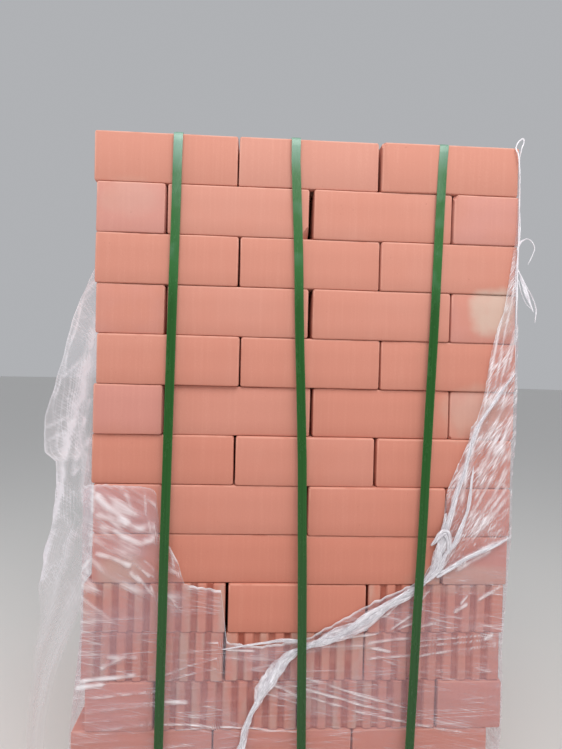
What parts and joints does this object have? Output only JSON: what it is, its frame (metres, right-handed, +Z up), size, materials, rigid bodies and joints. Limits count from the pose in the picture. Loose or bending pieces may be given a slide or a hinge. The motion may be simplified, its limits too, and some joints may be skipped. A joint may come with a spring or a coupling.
{
  "type": "pallet of bricks",
  "caption": "Timber pallet stacked with courses of clay facing bricks, held by plastic straps and torn stretch film.",
  "frame": {"origin": "middle of the pallet's underside, on the middle bottom board", "axes": "+Z up, front face of the stack towards -Y, +X to the right seen from the front"},
  "size_m": [0.8633, 1.0326, 1.3778],
  "materials": {
    "brick": "matt fired clay, salmon red",
    "pallet_wood": "rough sawn softwood, weathered",
    "strap": "embossed polyester strap, green",
    "stretch_film": "clear crinkled polyethylene film"
  },
  "bodies": {
    "root": {"course_01": "brick", "course_02": "brick", "course_03": "brick", "course_04": "brick", "course_05": "brick", "course_06": "brick", "course_07": "brick", "course_08": "brick", "course_09": "brick", "course_10": "brick", "course_11": "brick", "course_12": "brick", "course_13": "brick", "course_14": "brick", "corner_brick": "brick", "deck_boards": "pallet_wood", "runner_outer_left": "pallet_wood", "runner_inner_left": "pallet_wood", "runner_inner_right": "pallet_wood", "runner_outer_right": "pallet_wood", "bottom_board_front": "pallet_wood", "bottom_board_middle": "pallet_wood", "bottom_board_back": "pallet_wood", "strap_left": "strap", "strap_middle": "strap", "strap_right": "strap", "stretch_film": "stretch_film", "film_flap": "stretch_film"}
  },
  "joints": []
}
